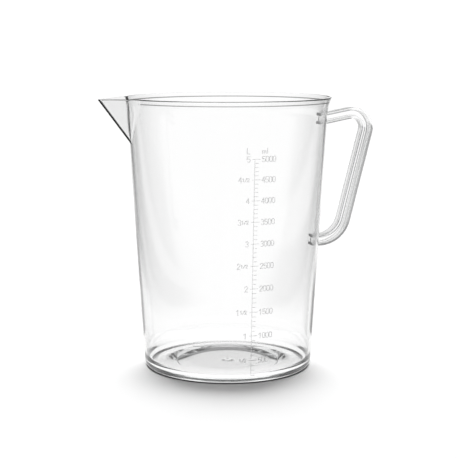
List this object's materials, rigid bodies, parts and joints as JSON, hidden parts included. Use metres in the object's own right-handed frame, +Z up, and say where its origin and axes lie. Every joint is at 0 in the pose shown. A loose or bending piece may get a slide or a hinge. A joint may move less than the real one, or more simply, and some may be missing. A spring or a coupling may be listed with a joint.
{
  "type": "graduated measuring jug beaker",
  "caption": "Clear tapered plastic measuring beaker with a flared rim, a beak spout, an open I-section handle and a raised volume scale.",
  "frame": {"origin": "centre of the underside of the base, on the surface the beaker stands on", "axes": "+Z up the beaker's axis, +X from the axis towards the handle, -X towards the spout, -Y towards the raised scale"},
  "size_m": [0.2754, 0.202, 0.264],
  "materials": {
    "clear_plastic": "clear injection-moulded plastic, glossy, faintly wavy from the mould",
    "raised_scale": "the same clear plastic, raised 0.35 mm with a fine frosted texture"
  },
  "bodies": {
    "root": {"side_wall": "clear_plastic", "rim_lip": "clear_plastic", "heel": "clear_plastic", "floor_ring": "clear_plastic", "floor_centre": "clear_plastic", "gate_nub": "clear_plastic", "spout_rear_cheek": "clear_plastic", "spout_front_cheek": "clear_plastic", "handle_outer_flange": "clear_plastic", "handle_inner_flange": "clear_plastic", "handle_web": "clear_plastic", "scale_spine": "raised_scale", "minor_ticks": "raised_scale", "major_ticks": "raised_scale", "litre_ticks": "raised_scale", "millilitres_500": "raised_scale", "millilitres_1000": "raised_scale", "millilitres_1500": "raised_scale", "millilitres_2000": "raised_scale", "millilitres_2500": "raised_scale", "millilitres_3000": "raised_scale", "millilitres_3500": "raised_scale", "millilitres_4000": "raised_scale", "millilitres_4500": "raised_scale", "millilitres_5000": "raised_scale", "litres_at_500": "raised_scale", "litres_at_1000": "raised_scale", "litres_at_1500": "raised_scale", "litres_at_2000": "raised_scale", "litres_at_2500": "raised_scale", "litres_at_3000": "raised_scale", "litres_at_3500": "raised_scale", "litres_at_4000": "raised_scale", "litres_at_4500": "raised_scale", "litres_at_5000": "raised_scale", "unit_millilitre": "raised_scale", "unit_litre": "raised_scale"}
  },
  "joints": []
}
